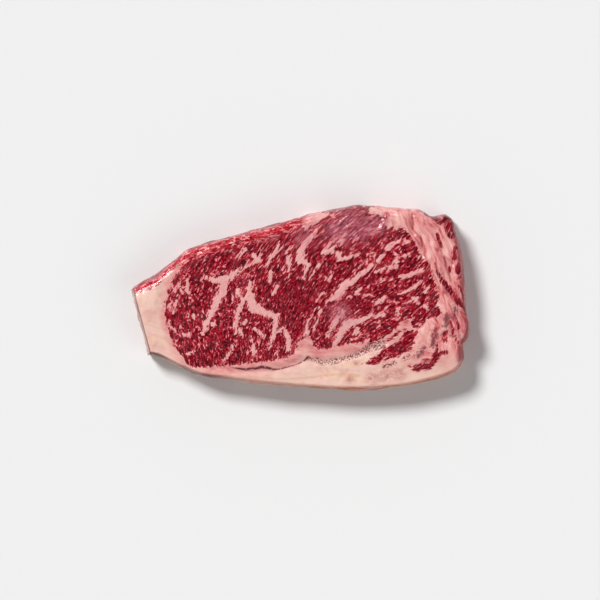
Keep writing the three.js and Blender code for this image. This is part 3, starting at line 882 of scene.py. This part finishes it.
def meat_colour(n, grain, inside, edge, shade, streak):
    """The colour of the whole steak."""
    fat_grain = n.shifted(n.field("fat_grain", "Vector"), 0.14, 2.0, (8.0, 7.0, 3.0))
    blotches = n.above(n.noise(grain, 0.7, 4.0, 0.75), 0.5, 9.0)
    bruise = n.math("SUBTRACT", blotches, n.field("bruise"))
    meat = lean_colour(n, grain, inside, edge, shade, streak)
    fat = with_skin(n, grain, fat_colour(n, grain, fat_grain))
    fat = n.over(fat, (126, 68, 72), n.span(bruise, -1.0, 0.9, 0.0, 0.85))
    outside = n.span(n.field("lean"), -0.6, 0.4, 1.0, 0.0)
    no_fleck = n.math("SUBTRACT", 1.0, n.span(inside, -0.5, 0.3))
    colour = n.mix(n.product(outside, no_fleck), meat, fat)
    colour = n.over(colour, (104, 48, 54), n.span(bruise, 0.2, 1.2, 0.0, 0.4))

    # The trimmed rim: wet red and pink strands along the edge
    strands_at = n.shifted(fat_grain, 0.3, 2.0, (3.0, 2.0, 2.0))
    rim = n.ramp(n.noise(strands_at, (0.22, 1.0, 0.8), 3.0, 0.6), [
        (0.38, (118, 1, 17)), (0.47, (184, 6, 28)), (0.53, (206, 44, 60)),
        (0.57, (232, 126, 134)), (0.64, (246, 188, 188)),
    ])
    colour = n.mix(n.product(n.field("band"), 0.9), colour, rim)

    # The cut end's own side: greyish pink with a dark line under its edge
    cut_side = n.field("cut_side")
    side = n.ramp(n.span(cut_side, 0.0, 2.5, smooth=False), [
        (0.0, (168, 118, 108)), (0.35, (206, 164, 154)), (0.66, (176, 134, 128)),
        (0.82, (84, 40, 42)),
    ])
    colour = n.mix(n.span(cut_side, 2.2, 2.5, 0.95, 0.0), colour, side)

    # Painted reflection: a lilac sheen on the cut face, with painted silvery glints on its fibres
    painted_sheen = n.field("painted_sheen")
    colour = n.over(colour, (176, 90, 106), painted_sheen, n.span(streak, 0.36, 0.54, 0.25, 0.65))
    painted_silver = n.span(n.noise(grain, (0.26, 2.0, 0.3), 2.0, 0.6), 0.54, 0.64, 0.0, 0.6)
    return n.over(colour, (222, 158, 166), painted_sheen, painted_silver)


def meat_material():
    """Marbled raw beef: lean, fat between and around it, thin skins, and a wet surface."""
    material = bpy.data.materials.new("raw_beef")
    material.use_nodes = True
    n = Nodes(material.node_tree)
    grain = n.field("grain", "Vector")
    inside, edge, shade, streak = marbling(n, grain)

    # Fine pores and fibres, with the fat a little proud of the lean
    fibre = n.noise(grain, (0.9, 3.0, 1.5), 3.0, 0.6)
    height = n.math("ADD", n.product(n.span(inside, -0.4, 0.5, 1.0, 0.0), 0.6), fibre)
    bump = n.add("Bump", {"Strength": 0.5, "Distance": 0.00012, "Height": height})

    # Glossiest on the juice, and duller on the walls than on the cut face
    roughness = n.span(n.noise(grain, 0.25, 3.0), 0.35, 0.65, 0.24, 0.4)
    roughness = n.product(roughness, n.span(n.field("wet"), 0.1, 0.8, 1.0, 0.3))
    roughness = n.math("ADD", roughness, n.product(n.field("dry"), 0.25))
    shader = material.node_tree.nodes["Principled BSDF"]
    linked = {
        "Base Color": meat_colour(n, grain, inside, edge, shade, streak),
        "Normal": bump.outputs["Normal"],
        "Roughness": roughness,
    }
    for name, socket in linked.items():
        n.tree.links.new(socket, shader.inputs[name])
    shader.inputs["Subsurface Weight"].default_value = 0.03
    shader.inputs["Subsurface Radius"].default_value = (1.0, 0.3, 0.2)
    shader.inputs["Subsurface Scale"].default_value = 0.0006
    shader.inputs["Specular IOR Level"].default_value = 0.25
    shader.inputs["Coat Weight"].default_value = 0.12
    shader.inputs["Coat Roughness"].default_value = 0.12
    return material


def placed(name, data):
    """A new object in the scene that shows a mesh, a light or a camera."""
    thing = bpy.data.objects.new(name, data)
    bpy.context.collection.objects.link(thing)
    return thing


def make_steak():
    points, faces, flat = skin()
    mesh = bpy.data.meshes.new("steak_meat")
    mesh.from_pydata((points * MM).tolist(), [], faces.tolist())
    mesh.shade_smooth()
    mesh.uv_layers.new(name="OFBake").data.foreach_set("uv", flat.astype(np.float32).ravel())
    paint_fields(mesh, points)
    mesh.materials.append(meat_material())
    return placed("steak_meat", mesh)


def make_floor():
    mesh = bpy.data.meshes.new("floor")
    half = FLOOR_HALF
    corners = [(-half, -half, 0), (half, -half, 0), (half, half, 0), (-half, half, 0)]
    mesh.from_pydata(corners, [], [(0, 1, 2, 3)])
    material = bpy.data.materials.new("floor")
    material.use_nodes = True
    shader = material.node_tree.nodes["Principled BSDF"]
    shader.inputs["Base Color"].default_value = linear(232, 232, 232)
    shader.inputs["Roughness"].default_value = 0.9
    shader.inputs["Specular IOR Level"].default_value = 0.1
    mesh.materials.append(material)
    return placed("floor", mesh)


def make_light(name, azimuth, elevation, strength, softness):
    """A broad distant light. Azimuth is from +X, and softness is how wide it looks, in degrees."""
    lamp = bpy.data.lights.new(name, "SUN")
    lamp.energy = strength
    lamp.angle = math.radians(softness)
    turn = (0, math.radians(90 - elevation), math.radians(azimuth))
    placed(name, lamp).rotation_euler = turn


def make_world(overhead, around):
    """Dim overhead, so that the flat meat mirrors little of it, and brighter towards the sides."""
    world = bpy.data.worlds.new("studio")
    world.use_nodes = True
    n = Nodes(world.node_tree)
    up = n.add("SeparateXYZ", {0: n.add("TexCoord").outputs["Generated"]}).outputs["Z"]
    strength = n.span(up, *OVERHEAD_BETWEEN, around, overhead)
    background = world.node_tree.nodes["Background"]
    background.inputs["Color"].default_value = (1, 1, 1, 1)
    n.tree.links.new(strength, background.inputs["Strength"])
    bpy.context.scene.world = world


def make_camera():
    """Straight above, as far off as the frame's width at the cut face asks."""
    camera = bpy.data.cameras.new("camera")
    camera.sensor_width = 36.0
    camera.lens = 240.0
    camera.clip_end = 20.0
    distance = FRAME_WIDTH * camera.lens / camera.sensor_width
    view = placed("camera", camera)
    view.location = (0, FRAME_MIDDLE, THICKNESS * MM + distance)
    bpy.context.scene.camera = view


steak = make_steak()
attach(steak, "root")
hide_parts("steak")
make_floor()
make_world(overhead=0.03, around=0.45)
make_light("key", azimuth=132, elevation=48, strength=3.0, softness=16)
make_light("fill", azimuth=-35, elevation=42, strength=0.5, softness=40)
make_camera()
bpy.context.scene.view_settings.view_transform = "Standard"
